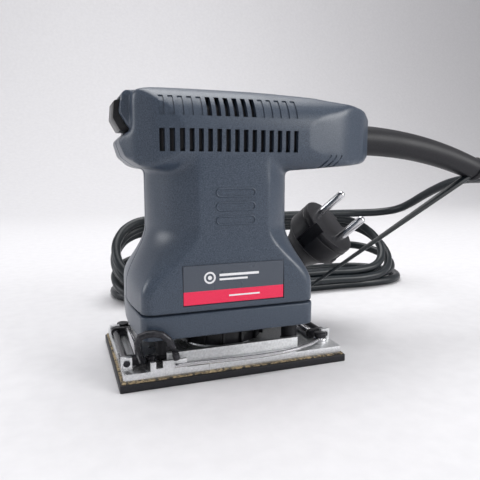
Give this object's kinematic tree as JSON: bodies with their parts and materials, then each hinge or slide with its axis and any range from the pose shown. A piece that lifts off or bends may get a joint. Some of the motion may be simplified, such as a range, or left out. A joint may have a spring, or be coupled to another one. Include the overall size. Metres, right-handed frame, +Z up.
{
  "type": "orbital sander",
  "caption": "Small orbital finishing sander: vertical motor column under a long closed grip, orbiting platen with wire paper clamps, cord guard, coiled mains lead and round two-pin plug.",
  "frame": {"origin": "centre of the sanding pad's bottom face", "axes": "+Z up away from the work, +X along the grip towards the mains lead, +Y to the left of that, so -Y is the labelled front"},
  "size_m": [0.2673, 0.2047, 0.1304],
  "materials": {
    "slate_plastic": "satin",
    "black_plastic": "satin",
    "black_rubber": "matte",
    "cord_rubber": "matte",
    "steel": "satin",
    "bright_steel": "bright",
    "black_steel": "satin",
    "aluminium": "satin",
    "copper": "satin",
    "brass": "satin",
    "carbon": "matte",
    "insulation": "matte",
    "fan_plastic": "satin",
    "capacitor_film": "gloss",
    "label_grey": "satin",
    "label_red": "satin",
    "label_silver": "satin",
    "bonding_layer": "matte",
    "lead_insulation": "satin"
  },
  "bodies": {
    "housing": {"housing_front": "slate_plastic", "housing_back": "slate_plastic", "base_skirt": "slate_plastic", "bearing_carrier": "slate_plastic", "bearing_bridge": "aluminium", "front_label": "label_grey", "label_stripe": "label_red", "rating_plate": "label_silver", "shell_screws": "steel", "skirt_screws": "steel", "field_core": "steel", "field_coils": "copper", "brush_plate": "insulation", "brush_holders": "brass", "carbon_brushes": "carbon", "motor_bearing_outers": "steel", "bearing_sleeve": "black_rubber", "suppressor_capacitor": "capacitor_film", "switch_body": "black_plastic", "cord_clamp": "black_plastic", "cord_clamp_screws": "steel", "cord_guard": "black_rubber", "inner_cord": "cord_rubber", "inner_leads": "lead_insulation", "rubber_legs": "black_rubber", "leg_screws": "steel", "power_cord": "cord_rubber", "cord_coil": "cord_rubber", "plug_lead": "cord_rubber", "plug_body": "black_rubber", "plug_pins": "bright_steel"},
    "switch_rocker": {"switch_rocker": "black_plastic"},
    "rotor": {"motor_shaft": "steel", "armature_core": "steel", "armature_windings": "copper", "commutator": "copper", "cooling_fan": "fan_plastic", "counterweight": "aluminium", "motor_bearing_inners": "steel", "pad_bearing_inner": "steel"},
    "upper_ball_cage": {"upper_ball_cage": "steel"},
    "lower_ball_cage": {"lower_ball_cage": "steel"},
    "pad_ball_cage": {"pad_ball_cage": "steel"},
    "platen": {"platen": "aluminium", "pad_bearing_outer": "steel", "pad_backing": "bonding_layer", "rubber_pad": "black_rubber", "spring_screws": "black_steel", "stop_screws": "black_steel", "left_tension_spring": "bright_steel", "right_tension_spring": "bright_steel", "left_pivot_bar": "black_steel", "right_pivot_bar": "black_steel"},
    "left_clamp": {"left_clamp_frame": "black_steel", "left_clamp_roller": "bright_steel", "left_clamp_lever": "black_steel"},
    "right_clamp": {"right_clamp_frame": "black_steel", "right_clamp_roller": "bright_steel", "right_clamp_lever": "black_steel"}
  },
  "joints": [
    {"name": "armature_spin", "type": "hinge", "parent": "housing", "child": "rotor", "pos_m": [-0.00075, 0, 0.06], "axis": [0, 0, 1], "continuous": true},
    {"name": "platen_orbit", "type": "hinge", "parent": "rotor", "child": "platen", "pos_m": [0, 0, 0.0138], "axis": [0, 0, 1], "continuous": true},
    {"name": "upper_bearing_roll", "type": "hinge", "parent": "housing", "child": "upper_ball_cage", "pos_m": [-0.00075, 0, 0.1079], "axis": [0, 0, 1], "continuous": true},
    {"name": "lower_bearing_roll", "type": "hinge", "parent": "housing", "child": "lower_ball_cage", "pos_m": [-0.00075, 0, 0.0415], "axis": [0, 0, 1], "continuous": true},
    {"name": "pad_bearing_roll", "type": "hinge", "parent": "rotor", "child": "pad_ball_cage", "pos_m": [0, 0, 0.0138], "axis": [0, 0, 1], "continuous": true},
    {"name": "switch_rock", "type": "hinge", "parent": "housing", "child": "switch_rocker", "pos_m": [-0.0446, 0, 0.1186], "axis": [0, 1, 0], "range_deg": [0, 12]},
    {"name": "left_clamp_swing", "type": "hinge", "parent": "platen", "child": "left_clamp", "pos_m": [-0.051, 0, 0.01], "axis": [0, -1, 0], "range_deg": [0, 55]},
    {"name": "right_clamp_swing", "type": "hinge", "parent": "platen", "child": "right_clamp", "pos_m": [0.051, 0, 0.01], "axis": [0, 1, 0], "range_deg": [0, 55]}
  ],
  "couplings": [
    {"joint": "platen_orbit", "follows": "armature_spin", "ratio": -1},
    {"joint": "upper_bearing_roll", "follows": "armature_spin", "ratio": 0.37255},
    {"joint": "lower_bearing_roll", "follows": "armature_spin", "ratio": 0.37255},
    {"joint": "pad_bearing_roll", "follows": "armature_spin", "ratio": -0.62778}
  ]
}
